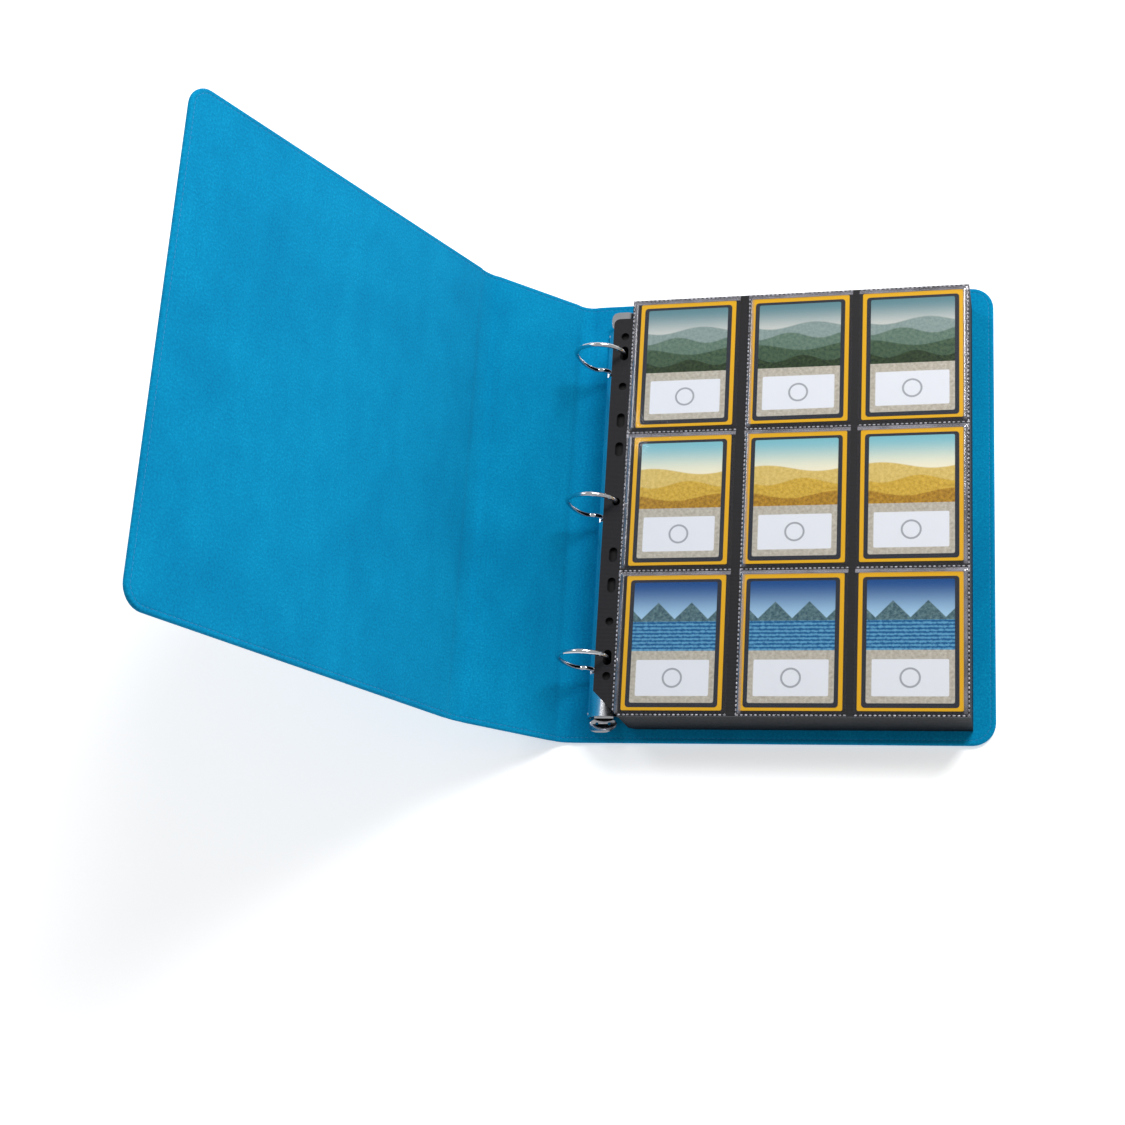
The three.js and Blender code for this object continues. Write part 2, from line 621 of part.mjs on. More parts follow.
// Front pocket films, one strip per column, welded down along the lines between rows
// and along one side. The first two columns open to the right, the last to the left.
const COLUMNS = ['left', 'middle', 'right'].map((label, i) => ({
  label,
  x0: STRIP_IN + i * POCKET_W + FILM_ENDS[i][0],
  x1: STRIP_IN + (i + 1) * POCKET_W + FILM_ENDS[i][1],
  weld: i < 2 ? 'low' : 'high',
}));
const sheetTop = SHEET_Z + STRIP_T;
for (const c of COLUMNS) {
  let film = block(c.x0, c.x1, -PAGE_H2, PAGE_H2, FILM_Z, FILM_Z + FILM_T);
  for (const y of [-1.5, -0.5, 0.5, 1.5]) {
    const mid = y * POCKET_H;
    const y0 = Math.max(mid - WELD, -PAGE_H2);
    const y1 = Math.min(mid + WELD, PAGE_H2);
    film = film.add(block(c.x0, c.x1, y0, y1, sheetTop, FILM_Z + FILM_T));
  }
  const side = c.weld === 'low' ? [c.x0, c.x0 + WELD] : [c.x1 - WELD, c.x1];
  film = film.add(block(...side, -PAGE_H2, PAGE_H2, sheetTop, FILM_Z + FILM_T));
  if (c.label === 'left') film = film.subtract(cornerCut);
  add('top_page_film_' + c.label, 'film', onRings(film));
}

// Sleeved cards, one in each front pocket.
const CARD_X = CARD_SHIFT.map((shift, i) => STRIP_IN + (i + 0.5) * POCKET_W + shift);
const CARD_Y = [POCKET_H, 0, -POCKET_H];
function cardShape(x, y) {
  const w = SLEEVE_W / 2;
  const h = SLEEVE_H / 2;
  const r = 1.2;
  const s = new THREE.Shape();
  s.moveTo(x - w + r, y - h);
  s.absarc(x + w - r, y - h + r, r, -Math.PI / 2, 0, false);
  s.absarc(x + w - r, y + h - r, r, 0, Math.PI / 2, false);
  s.absarc(x - w + r, y + h - r, r, Math.PI / 2, Math.PI, false);
  s.absarc(x - w + r, y - h + r, r, Math.PI, 1.5 * Math.PI, false);
  s.closePath();
  return s;
}
CARD_Y.forEach((y, row) => {
  CARD_X.forEach((x, col) => {
    const solid = prism(cardShape(x, y), CARD_Z, CARD_Z + SLEEVED_T, 3);
    add(`sleeved_card_r${row + 1}c${col + 1}`, 'card', onRings(solid));
  });
});

export default root;
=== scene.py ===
# Ring binder for trading cards, open on its back: microfibre cover in three boards,
# flat lever mechanism with three rings, twenty pocket pages, nine sleeved cards on top.
# Metres; the imported model is the frame, and the mechanism, cards, pocket films and weld beads ride on
# its bodies.
import json
import math
import bpy
import bmesh
from mathutils import Matrix, Vector


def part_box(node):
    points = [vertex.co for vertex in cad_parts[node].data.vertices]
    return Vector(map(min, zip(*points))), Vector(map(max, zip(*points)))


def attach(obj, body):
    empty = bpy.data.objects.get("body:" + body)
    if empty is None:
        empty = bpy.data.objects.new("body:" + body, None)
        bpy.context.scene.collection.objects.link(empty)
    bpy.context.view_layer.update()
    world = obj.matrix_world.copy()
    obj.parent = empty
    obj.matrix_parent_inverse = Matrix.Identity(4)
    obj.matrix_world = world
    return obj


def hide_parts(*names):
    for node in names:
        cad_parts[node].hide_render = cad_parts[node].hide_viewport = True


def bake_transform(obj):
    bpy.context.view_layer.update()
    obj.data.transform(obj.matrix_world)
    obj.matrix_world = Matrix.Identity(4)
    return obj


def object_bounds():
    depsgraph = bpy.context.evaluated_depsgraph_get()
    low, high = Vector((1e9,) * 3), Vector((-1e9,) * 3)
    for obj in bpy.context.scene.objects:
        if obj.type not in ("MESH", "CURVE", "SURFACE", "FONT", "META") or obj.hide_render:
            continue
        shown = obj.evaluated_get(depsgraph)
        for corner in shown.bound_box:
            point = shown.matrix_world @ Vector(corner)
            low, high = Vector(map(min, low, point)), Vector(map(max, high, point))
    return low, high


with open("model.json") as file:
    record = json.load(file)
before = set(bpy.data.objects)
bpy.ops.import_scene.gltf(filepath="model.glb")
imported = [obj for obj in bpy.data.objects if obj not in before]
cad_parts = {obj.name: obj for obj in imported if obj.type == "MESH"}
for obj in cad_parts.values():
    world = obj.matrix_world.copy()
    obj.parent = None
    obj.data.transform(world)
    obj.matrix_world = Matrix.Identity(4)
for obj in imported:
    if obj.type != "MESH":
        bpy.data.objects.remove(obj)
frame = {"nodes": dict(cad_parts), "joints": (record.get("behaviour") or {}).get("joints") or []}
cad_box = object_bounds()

# ---- Camera, lights and table ---------------------------------------------------
# A seat above and to the right of the binder, a large soft key from the back right,
# a weak strip from the back left for the gloss, and a plain pale table underneath,
# which gives off a little light of its own.
MM = 0.001
TABLE_SIZE = 6.0
TABLE_GLOW = 0.42
STUDIO_GLOW = 0.42
SENSOR = 36
CAMERA_AT = Vector((180.13, -424.77, 1213.10)) * MM
CAMERA_TURN = (18.276, 14.095, 3.638)
CAMERA_LENS = 60.82

camera = bpy.data.objects.new("camera", bpy.data.cameras.new("camera"))
bpy.context.scene.collection.objects.link(camera)
camera.location = CAMERA_AT
camera.rotation_euler = [math.radians(turn) for turn in CAMERA_TURN]
camera.data.sensor_width = SENSOR
camera.data.lens = CAMERA_LENS
camera.data.clip_end = 20
bpy.context.scene.camera = camera
bpy.context.scene.view_settings.view_transform = "Standard"


def softbox(name, at, aim, size, watts):
    lamp = bpy.data.lights.new(name, "AREA")
    lamp.shape = "RECTANGLE"
    lamp.size, lamp.size_y = size
    lamp.energy = watts
    box = bpy.data.objects.new(name, lamp)
    bpy.context.scene.collection.objects.link(box)
    box.location = at
    box.rotation_euler = (Vector(aim) - Vector(at)).to_track_quat("-Z", "Y").to_euler()


softbox("key", (0.72, 1.1, 1.6), (0, 0, 0.05), (0.8, 0.8), 34)
softbox("left_strip", (-0.95, 0.85, 1.75), (-0.05, 0.05, 0.05), (0.5, 0.8), 7)

world = bpy.data.worlds.new("studio")
world.use_nodes = True
world.node_tree.nodes["Background"].inputs["Color"].default_value = (1.0, 1.0, 1.0, 1)
world.node_tree.nodes["Background"].inputs["Strength"].default_value = STUDIO_GLOW
bpy.context.scene.world = world


# ---- Shader arithmetic and mesh making for the pieces below ----------------------
# Wire is one output of a node; sums on it add Math nodes. The table is the first
# piece to use it.
class Wire:
    def __init__(self, tree, socket=None):
        self.tree = tree
        self.socket = socket

    def node(self, kind, settings=None, out=0, **sockets):
        made = self.tree.nodes.new("ShaderNode" + kind)
        for name, value in (settings or {}).items():
            if name == "stops":
                stops = made.color_ramp.elements
                while len(stops) < len(value):
                    stops.new(1.0)
                for stop, (at, colour) in zip(stops, value):
                    stop.position, stop.color = at, (*colour, 1)
            else:
                setattr(made, name, value)
        for name, value in sockets.items():
            key = int(name[1:]) if name[1:].isdigit() else name.replace("_", " ")
            self.feed(made.inputs[key], value)
        return Wire(self.tree, None if out is None else made.outputs[out])

    def feed(self, socket, value):
        if isinstance(value, Wire):
            self.tree.links.new(value.socket, socket)
        elif socket.type == "RGBA" and len(value) == 3:
            socket.default_value = (*value, 1)
        else:
            socket.default_value = value

    def math(self, operation, a, b=0.0, c=0.0):
        return self.node("Math", {"operation": operation}, _0=a, _1=b, _2=c)

    def __add__(self, other):
        return self.math("ADD", self, other)

    __radd__ = __add__

    def __sub__(self, other):
        return self.math("SUBTRACT", self, other)

    def __rsub__(self, other):
        return self.math("SUBTRACT", other, self)

    def __mul__(self, other):
        return self.math("MULTIPLY", self, other)

    __rmul__ = __mul__

    def __truediv__(self, other):
        return self.math("DIVIDE", self, other)

    def __abs__(self):
        return self.math("ABSOLUTE", self)

    def least(self, other):
        return self.math("MINIMUM", self, other)

    def most(self, other):
        return self.math("MAXIMUM", self, other)

    def wrap(self, step):
        return self.math("WRAP", self, step, 0.0)

    def step(self, low, high):
        """0 below low, 1 above high, smooth between; it falls if low is above high."""
        if low > high:
            return 1 - self.step(high, low)
        settings = {"interpolation_type": "SMOOTHSTEP"}
        return self.node("MapRange", settings, Value=self, From_Min=low, From_Max=high)

    def tint(self, a, b):
        """Colour a where this is 0, colour b where it is 1."""
        return self.node("Mix", {"data_type": "RGBA"}, 2, _0=self, _6=a, _7=b)

    def noise(self, place, scale, detail=2.0, roughness=0.5, stretch=(1, 1, 1)):
        at = self.node("Mapping", Vector=place, Scale=stretch)
        return self.node("TexNoise", Vector=at, Scale=scale, Detail=detail, Roughness=roughness)


def finish_named(name, **constants):
    """A new material: the pen that draws its nodes, and its shader's sockets."""
    material = bpy.data.materials.new(name)
    material.use_nodes = True
    shader = material.node_tree.nodes["Principled BSDF"]
    pen = Wire(material.node_tree)
    for key, value in constants.items():
        pen.feed(shader.inputs[key.replace("_", " ")], value)
    return material, pen, shader.inputs


def rgb(red, green, blue):
    """A colour as a painter's 0-255 numbers, made linear."""
    return tuple(
        c / 12.92 if c <= 0.04045 else ((c + 0.055) / 1.055) ** 2.4
        for c in (red / 255, green / 255, blue / 255)
    )


def bump(pen, shader, height, distance, strength=1.0):
    lifted = pen.node("Bump", Height=height, Distance=distance, Strength=strength)
    pen.feed(shader["Normal"], lifted)


def solid(name, points, faces, material, uvs=None, smooth_below=None):
    """One mesh object at the origin from its points and faces, normals outwards."""
    mesh = bpy.data.meshes.new(name)
    mesh.from_pydata([tuple(p) for p in points], [], faces)
    if uvs is not None:
        layer = mesh.uv_layers.new(name="surface")
        for loop in mesh.loops:
            layer.data[loop.index].uv = uvs[loop.vertex_index]
    shape = bmesh.new()
    shape.from_mesh(mesh)
    bmesh.ops.recalc_face_normals(shape, faces=shape.faces)
    if smooth_below is not None:
        for face in shape.faces:
            face.smooth = True
        for edge in shape.edges:
            if len(edge.link_faces) == 2 and edge.calc_face_angle(0) > math.radians(smooth_below):
                edge.smooth = False
    shape.to_mesh(mesh)
    shape.free()
    materials = material if isinstance(material, (list, tuple)) else [material]
    for one in materials:
        mesh.materials.append(one)
    piece = bpy.data.objects.new(name, mesh)
    bpy.context.scene.collection.objects.link(piece)
    return piece


table_white, pen, shader = finish_named(
    "table_white", Roughness=0.6, Emission_Color=(1.0, 1.0, 1.0), Emission_Strength=TABLE_GLOW,
)
place = pen.node("TexCoord", out=3)
pen.feed(shader["Base Color"], pen.noise(place, 3.0).tint((0.93, 0.93, 0.93), (0.95, 0.95, 0.95)))
half = TABLE_SIZE / 2
table = solid(
    "table",
    [(-half, -half, 0), (half, -half, 0), (half, half, 0), (-half, half, 0)],
    [(0, 1, 2, 3)], table_white,
)
table.location.z = cad_box[0].z - 0.2 * MM

# ---- Cover -------------------------------------------------------------------------
# Three greyboards between two skins of brushed microfibre, edges turned in and sewn
# 3 mm from the rim. The skins run on through both folds, where there is no board.
joints = {j["name"]: j for j in frame["joints"]}
RIM_ROUND = 1.3 * MM
CORNER_R = 15 * MM
FOLD_REACH = 6 * MM
FOLD_THICK = 2.0 * MM
SEAM_IN = 3.2 * MM
SEAM_SUNK = 0.28 * MM
SEAM_HALF = 0.55 * MM
FOLD_FADE = 3.0 * MM

panel_low, panel_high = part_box("back_outer_skin")
lining_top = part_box("back_lining")[1].z
COVER_THICK = lining_top - panel_low.z
half_height = panel_high.y
spine_rise = math.radians(-joints["spine_fold"]["range_deg"][0])
front_rise = spine_rise + math.radians(-joints["front_cover_fold"]["range_deg"][0])
back_fold = Vector(joints["spine_fold"]["pos_m"])
front_fold = Vector(joints["front_cover_fold"]["pos_m"])
spine_length = (front_fold - back_fold).length
panel_length = panel_high.x - back_fold.x


def run_of_cover():
    """(length, turn) of each straight and bend, from the back fore edge to the front one."""
    flat = panel_length - FOLD_REACH
    bends = []
    for turn in (spine_rise, front_rise - spine_rise):
        radius = FOLD_REACH / math.tan(turn / 2)
        bends.append((radius * turn, turn))
    return [(flat, 0), bends[0], (spine_length - 2 * FOLD_REACH, 0), bends[1], (flat, 0)]


COVER_RUN = run_of_cover()
COVER_LENGTH = sum(length for length, _ in COVER_RUN)


def on_cover(s, y, h):
    """The place at length s along the middle of the cover, y up the page, h off it."""
    x, z, rise = panel_high.x, panel_low.z + COVER_THICK / 2, 0.0
    for length, turn in COVER_RUN:
        step = min(s, length)
        if turn:
            radius = length / turn
            part = rise + turn * step / length
            x -= radius * (math.sin(part) - math.sin(rise))
            z += radius * (math.cos(rise) - math.cos(part))
            rise = part
        else:
            x -= step * math.cos(rise)
            z += step * math.sin(rise)
        s -= step
        if s <= 1e-12:
            break
    return Vector((x + h * math.sin(rise), y, z + h * math.cos(rise)))


def half_thickness(s):
    """Half the cover's thickness at s: full over a board, thin in the folds."""
    at, thin = 0.0, 0.0
    for length, turn in COVER_RUN:
        if turn:
            off = abs(s - (at + length / 2)) - length / 2
            near = min(max(1 - off / FOLD_FADE, 0), 1)
            thin = max(thin, near * near * (3 - 2 * near))
        at += length
    return (COVER_THICK - (COVER_THICK - FOLD_THICK) * thin) / 2


def rim_profile(half):
    """(inset, height) from the top face over the rim to the bottom face."""
    inner = SEAM_IN + 2.2 * SEAM_HALF
    top = [(inner, half), (SEAM_IN + SEAM_HALF, half), (SEAM_IN, half - SEAM_SUNK),
           (SEAM_IN - SEAM_HALF, half)]
    e = min(RIM_ROUND, half)
    edge = []
    for k in range(9):
        a = math.pi / 2 - math.pi * k / 8
        flat = (half - e) * (1 if a > 0.01 else -1 if a < -0.01 else 0)
        edge.append((e * (1 - math.cos(a)), flat + e * math.sin(a)))
    return top + edge + [(d, -h) for d, h in reversed(top)]


def cover_stations(cut):
    """Corner angles, then lengths from the rounded end to the cut at the spine."""
    flat = COVER_RUN[0][0]
    stations = [("turn", math.pi / 2 * k / 8) for k in range(9)]
    lengths = [CORNER_R + (flat - 8 * MM - CORNER_R) * k / 14 for k in range(1, 15)]
    lengths += [flat - 8 * MM + (cut - flat + 8 * MM) * k / 30 for k in range(1, 31)]
    return stations + [("straight", at) for at in lengths]


def cover_half(name, from_front):
    cut_s = COVER_RUN[0][0] + COVER_RUN[1][0] + COVER_RUN[2][0] / 2
    cut = COVER_LENGTH - cut_s if from_front else cut_s
    stations = cover_stations(cut)
    rows = 20
    across = len(stations)

    def border(station, inset):
        kind, value = station
        if kind == "turn":
            return (CORNER_R - (CORNER_R - inset) * math.cos(value),
                    half_height - CORNER_R + (CORNER_R - inset) * math.sin(value))
        return value, half_height - inset

    points, uvs, faces = [], [], []

    def put(u, y, profile_index):
        s = COVER_LENGTH - u if from_front else u
        h = rim_profile(half_thickness(s))[profile_index][1]
        points.append(on_cover(s, y, h))
        uvs.append((s, y))
        return len(points) - 1

    steps = len(rim_profile(COVER_THICK / 2))
    rings = []
    for k in range(steps):
        inset = rim_profile(COVER_THICK / 2)[k][0]
        loop = []
        for i in range(across - 1, -1, -1):
            u, y = border(stations[i], inset)
            loop.append(put(u, y, k))
        u, y = border(stations[0], inset)
        for j in range(rows - 1, 0, -1):
            loop.append(put(u, y * (2 * j / rows - 1), k))
        for i in range(across):
            u, y = border(stations[i], inset)
            loop.append(put(u, -y, k))
        rings.append(loop)
    for one, other in zip(rings, rings[1:]):
        for a in range(len(one) - 1):
            faces.append((one[a], one[a + 1], other[a + 1], other[a]))
    cut_face = {}
    for k in (0, steps - 1):
        ring = rings[k]
        grid = []
        for i in range(across):
            u, y = border(stations[i], rim_profile(COVER_THICK / 2)[k][0])
            column = []
            for j in range(rows + 1):
                if j == rows:
                    column.append(ring[across - 1 - i])
                elif j == 0:
                    column.append(ring[across - 1 + rows + i])
                elif i == 0:
                    column.append(ring[across - 1 + rows - j])
                else:
                    column.append(put(u, y * (2 * j / rows - 1), k))
            grid.append(column)
        for i in range(across - 1):
            for j in range(rows):
                faces.append((grid[i][j], grid[i + 1][j], grid[i + 1][j + 1], grid[i][j + 1]))
        cut_face[k] = grid[-1]
    loop = list(cut_face[0])
    loop += [ring[0] for ring in rings[1:-1]]
    loop += list(reversed(cut_face[steps - 1]))
    loop += [ring[-1] for ring in reversed(rings[1:-1])]
    faces.append(tuple(loop))
    return solid(name, points, faces, microfibre, uvs, smooth_below=50)


NAP_DARK = rgb(0, 113, 161)
NAP_MID = rgb(0, 134, 182)
NAP_LIGHT = rgb(12, 158, 205)
microfibre, pen, shader = finish_named(
    "microfibre", Roughness=0.92, Sheen_Weight=0.12, Sheen_Roughness=0.45,
    Sheen_Tint=(0.1, 0.65, 1.0),
)
shader["Specular IOR Level"].default_value = 0.08
place = pen.node("UVMap", {"uv_map": "surface"})
handled = pen.noise(place, 9.0, 3.0, 0.55).step(0.44, 0.68)
brushed = pen.noise(place, 60.0, 4.0, 0.6, (1, 0.55, 1))
fibre = pen.noise(place, 2600.0, 3.0, 0.75)
flock = pen.noise(place, 700.0, 3.0, 0.6)
shade = (flock - 0.5) * 1.5 + (fibre - 0.5) * 1.1 + (brushed - 0.5) * 0.5 + 0.5 - handled * 0.18
nap = shade.node("ValToRGB", {"stops": [(0.0, NAP_DARK), (0.5, NAP_MID), (1.0, NAP_LIGHT)]}, Fac=shade)
pen.feed(shader["Base Color"], nap)
bump(pen, shader, flock * 0.5 + fibre * 0.5, 0.00025, 0.6)

for name, from_front, bodies, fold, before, after, nodes in (
    ("cover_back_and_spine", False, ("back_cover", "spine"), back_fold, 0.0, spine_rise,
     ("back_outer_skin", "back_lining", "fold_strip_back")),
    ("cover_spine_and_front", True, ("spine", "front_cover"), front_fold, spine_rise, front_rise,
     ("spine_outer_skin", "spine_lining", "front_outer_skin", "front_lining",
      "fold_strip_front")),
):
    skin = cover_half(name, from_front)
    end = fold + Vector((-math.cos(after), 0, math.sin(after))) * FOLD_REACH
    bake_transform(skin)
    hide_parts(*nodes)

# Seam: one row of thread round each panel face, both sides of the cover. The two
# threads run in the sunk line 3 mm inside the rim and follow the skins round the folds.
STITCH_PITCH = 3.3 * MM
STITCH_LONG = 2.5 * MM
THREAD_THICK = 0.42 * MM

thread, pen, shader = finish_named("seam_thread", Roughness=0.7, Sheen_Weight=0.2)
place = pen.node("TexCoord", out=3)
twist = pen.noise(place, 1800.0, 2.0)
pen.feed(shader["Base Color"], twist.tint(rgb(10, 112, 166), rgb(30, 150, 208)))


def stitch_tree():
    """A row of stitches along each line of a mesh of edges."""
    tree = bpy.data.node_groups.new("row_of_stitches", "GeometryNodeTree")
    tree.interface.new_socket("Lines", in_out="INPUT", socket_type="NodeSocketGeometry")
    for name, value in (("Pitch", STITCH_PITCH), ("Long", STITCH_LONG),
                        ("Wide", THREAD_THICK), ("Thick", THREAD_THICK)):
        socket = tree.interface.new_socket(name, in_out="INPUT", socket_type="NodeSocketFloat")
        socket.default_value = value
    tree.interface.new_socket("Stitches", in_out="OUTPUT", socket_type="NodeSocketGeometry")
    return tree


def link_nodes(tree, finish, shape_node, shape_size, lengthwise):
    """Lines to points at the pitch, one shape on each point, made real, with its finish."""
    nodes, links = tree.nodes, tree.links
    given = nodes.new("NodeGroupInput")
    made = nodes.new("NodeGroupOutput")
    curve = nodes.new("GeometryNodeMeshToCurve")
    spots = nodes.new("GeometryNodeCurveToPoints")
    spots.mode = "LENGTH"
    shape = nodes.new(shape_node)
    for key, value in shape_size.items():
        shape.inputs[key].default_value = value
    size = nodes.new("ShaderNodeCombineXYZ")
    stretch = nodes.new("GeometryNodeTransform")
    put = nodes.new("GeometryNodeInstanceOnPoints")
    real = nodes.new("GeometryNodeRealizeInstances")
    painted = nodes.new("GeometryNodeSetMaterial")
    painted.inputs["Material"].default_value = finish
    links.new(given.outputs["Lines"], curve.inputs[0])
    links.new(curve.outputs[0], spots.inputs["Curve"])
    links.new(given.outputs["Pitch"], spots.inputs["Length"])
    for axis, key in zip("XYZ", lengthwise):
        links.new(given.outputs[key], size.inputs[axis])
    links.new(shape.outputs["Mesh"], stretch.inputs["Geometry"])
    links.new(size.outputs[0], stretch.inputs["Scale"])
    links.new(spots.outputs["Points"], put.inputs["Points"])
    links.new(spots.outputs["Rotation"], put.inputs["Rotation"])
    links.new(stretch.outputs["Geometry"], put.inputs["Instance"])
    links.new(put.outputs["Instances"], real.inputs["Geometry"])
    links.new(real.outputs["Geometry"], painted.inputs["Geometry"])
    links.new(painted.outputs["Geometry"], made.inputs[0])


def lines_through_tree(name, lines, tree, sizes, finish):
    """The tree's result on these lines of points, as a plain mesh named name."""
    points, edges = [], []
    for line in lines:
        first = len(points)
        points += [tuple(p) for p in line]
        edges += [(i, i + 1) for i in range(first, len(points) - 1)]
    mesh = bpy.data.meshes.new(name + "_lines")
    mesh.from_pydata(points, edges, [])
    holder = bpy.data.objects.new(name + "_lines", mesh)
    bpy.context.scene.collection.objects.link(holder)
    modifier = holder.modifiers.new("row", "NODES")
    modifier.node_group = tree
    for item in tree.interface.items_tree:
        if item.item_type == "SOCKET" and item.in_out == "INPUT" and item.name in sizes:
            modifier[item.identifier] = sizes[item.name]
    bpy.context.view_layer.update()
    graph = bpy.context.evaluated_depsgraph_get()
    made = bpy.data.meshes.new_from_object(holder.evaluated_get(graph))
    made.name = name
    holder.modifiers.remove(modifier)
    bpy.data.objects.remove(holder)
    piece = bpy.data.objects.new(name, made)
    bpy.context.scene.collection.objects.link(piece)
    for polygon in made.polygons:
        polygon.use_smooth = True
    if not made.materials:
        made.materials.append(finish)
    return piece


stitches = stitch_tree()
link_nodes(stitches, thread, "GeometryNodeMeshUVSphere", {"Segments": 8, "Rings": 5, "Radius": 0.5},
           ("Thick", "Thick", "Long"))


def seam_line(cut, from_front, side):
    """The seam's path on one face: from the cut, round the free end, back to the cut."""
    def place_at(u, y):
        s = COVER_LENGTH - u if from_front else u
        return on_cover(s, y, side * (half_thickness(s) - SEAM_SUNK + THREAD_THICK * 0.2))

    straight = [CORNER_R + (cut - CORNER_R) * k / 160 for k in range(161)]
    turns = [math.pi / 2 * k / 12 for k in range(13)]
    reach = CORNER_R - SEAM_IN
    corner = [(CORNER_R - reach * math.cos(a), half_height - CORNER_R + reach * math.sin(a))
              for a in turns]
    upper = [(u, half_height - SEAM_IN) for u in reversed(straight)] + corner[-2::-1]
    lower = [(u, -y) for u, y in reversed(upper)]
    return [place_at(u, y) for u, y in upper + lower]


cut_at = COVER_RUN[0][0] + COVER_RUN[1][0] + COVER_RUN[2][0] / 2
for name, from_front, bodies, fold, before, after in (
    ("seam_back_and_spine", False, ("back_cover", "spine"), back_fold, 0.0, spine_rise),
    ("seam_spine_and_front", True, ("spine", "front_cover"), front_fold, spine_rise, front_rise),
):
    cut = COVER_LENGTH - cut_at if from_front else cut_at
    seam = lines_through_tree(
        name, [seam_line(cut, from_front, side) for side in (1, -1)], stitches,
        {"Pitch": STITCH_PITCH, "Long": STITCH_LONG, "Thick": THREAD_THICK}, thread)
    end = fold + Vector((-math.cos(after), 0, math.sin(after))) * FOLD_REACH
    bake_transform(seam)

# Greyboards inside the skins: pressed grey board, unseen while the cover is whole.
greyboard, pen, shader = finish_named("greyboard", Roughness=0.95)
place = pen.node("TexCoord", out=3)
speck = pen.noise(place, 900.0, 3.0)
pen.feed(shader["Base Color"], speck.tint(rgb(150, 142, 132), rgb(186, 178, 166)))


def paint(node, finish):
    """The CAD node keeps its shape and takes this finish."""
    mesh = frame["nodes"][node].data
    mesh.materials.clear()
    mesh.materials.append(finish)


for node in ("back_board", "spine_board", "front_board"):
    paint(node, greyboard)

# ---- Ring mechanism ------------------------------------------------------------------
# Nickel-plated shield riveted to the back board. Two sprung plates lie under it and
# carry the halves of three D rings of 3 mm wire; a lever at each end rocks them.
pivot_left = Vector(joints["ring_open"]["pos_m"])
pivot_right = Vector(joints["right_plate_turn"]["pos_m"])
mech_x = (pivot_left.x + pivot_right.x) / 2
mech_y = pivot_left.y
page_axis = Vector(joints["top_page_turn"]["pos_m"])
WIRE_R = 1.5 * MM
RING_TOP_R = 16.7 * MM
RING_SPLIT = math.radians(35)
ARCH_LOW = 12.85 * MM
ARCH_BEND = 5.6 * MM
LEG_OFF = 8.5 * MM

nickel, pen, shader = finish_named("bright_nickel", Metallic=1.0, Coat_Weight=0.0)
place = pen.node("TexCoord", out=3)
film_wear = pen.noise(place, 120.0, 3.0)
fine = pen.noise(place, 1500.0, 2.0)
pen.feed(shader["Base Color"], film_wear.tint(rgb(206, 208, 212), rgb(232, 234, 238)))
pen.feed(shader["Roughness"], 0.07 + fine * 0.07 + film_wear * 0.05)
bump(pen, shader, fine * 0.5 + film_wear, 0.00002, 0.5)

zinc, pen, shader = finish_named("zinc_steel", Metallic=1.0)
place = pen.node("TexCoord", out=3)
grain = pen.noise(place, 300.0, 3.0, 0.6, (1, 0.06, 1))
pen.feed(shader["Base Color"], grain.tint(rgb(160, 163, 170), rgb(205, 207, 212)))
pen.feed(shader["Roughness"], 0.25 + grain * 0.2)
bump(pen, shader, grain, 0.00004, 0.5)


def wire(name, route, y):
    """Round wire through points (x, z) in the plane y, with slightly broken end edges."""
    sides = 24
    points, faces = [], []
    count = len(route)

    def heading(i):
        a, b = route[max(0, i - 1)], route[min(count - 1, i + 1)]
        d = Vector((b[0] - a[0], b[1] - a[1]))
        return d.normalized()

    rings = [(i, 1.0, 0.0) for i in range(count)]
    last = count - 1
    rings = [(0, 0.8, 0.0), (0, 1.0, 0.2)] + rings[1:-1] + [(last, 1.0, -0.2), (last, 0.8, 0.0)]
    for i, width, shift in rings:
        d = heading(i)
        x, z = Vector(route[i]) + d * shift * WIRE_R
        for k in range(sides):
            a = 2 * math.pi * k / sides
            r = WIRE_R * width
            points.append((x + d.y * r * math.cos(a), y + r * math.sin(a), z - d.x * r * math.cos(a)))
    for j in range(len(rings) - 1):
        for k in range(sides):
            a, b = j * sides + k, j * sides + (k + 1) % sides
            faces.append((a, b, b + sides, a + sides))
    faces.append(tuple(range(sides)))
    faces.append(tuple(range(len(points) - 1, len(points) - 1 - sides, -1)))
    return solid(name, points, faces, nickel, smooth_below=40)


def ring_route():
    """(post, arch): the two halves of a ring as (x, z) routes, from its foot or its split."""
    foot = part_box("ring_post_middle")[0].z
    leg = mech_x + LEG_OFF
    top = [(page_axis.x + RING_TOP_R * math.cos(a), page_axis.z + RING_TOP_R * math.sin(a))
           for a in [RING_SPLIT * k / 12 for k in range(13)]]
    post = [(leg, foot + (page_axis.z - foot) * k / 6) for k in range(6)] + top
    arch = [(page_axis.x + RING_TOP_R * math.cos(a), page_axis.z + RING_TOP_R * math.sin(a))
            for a in [RING_SPLIT + (math.pi - RING_SPLIT) * k / 40 for k in range(41)]]
    low = lining_top + ARCH_LOW
    end = mech_x - LEG_OFF - ARCH_BEND
    side = page_axis.x - RING_TOP_R
    for k in range(1, 25):
        a = math.pi / 2 * k / 24
        arch.append((end + (side - end) * math.cos(a), page_axis.z + (low - page_axis.z) * math.sin(a)))
    for k in range(1, 9):
        a = math.pi / 2 * k / 8
        arch.append((end + ARCH_BEND * math.sin(a), low - ARCH_BEND + ARCH_BEND * math.cos(a)))
    last = arch[-1][1]
    arch += [(mech_x - LEG_OFF, last + (foot - last) * k / 3) for k in (1, 2, 3)]
    return post, arch


post_route, arch_route = ring_route()
for place_name in ("top", "middle", "bottom"):
    low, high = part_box("ring_post_" + place_name)
    at_y = (low.y + high.y) / 2
    for part, route, body in (("post", post_route, "right_plate"), ("arch", arch_route, "left_plate")):
        piece = wire(f"wire_{part}_{place_name}", route, at_y)
        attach(piece, body)
        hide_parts(f"ring_{part}_{place_name}")


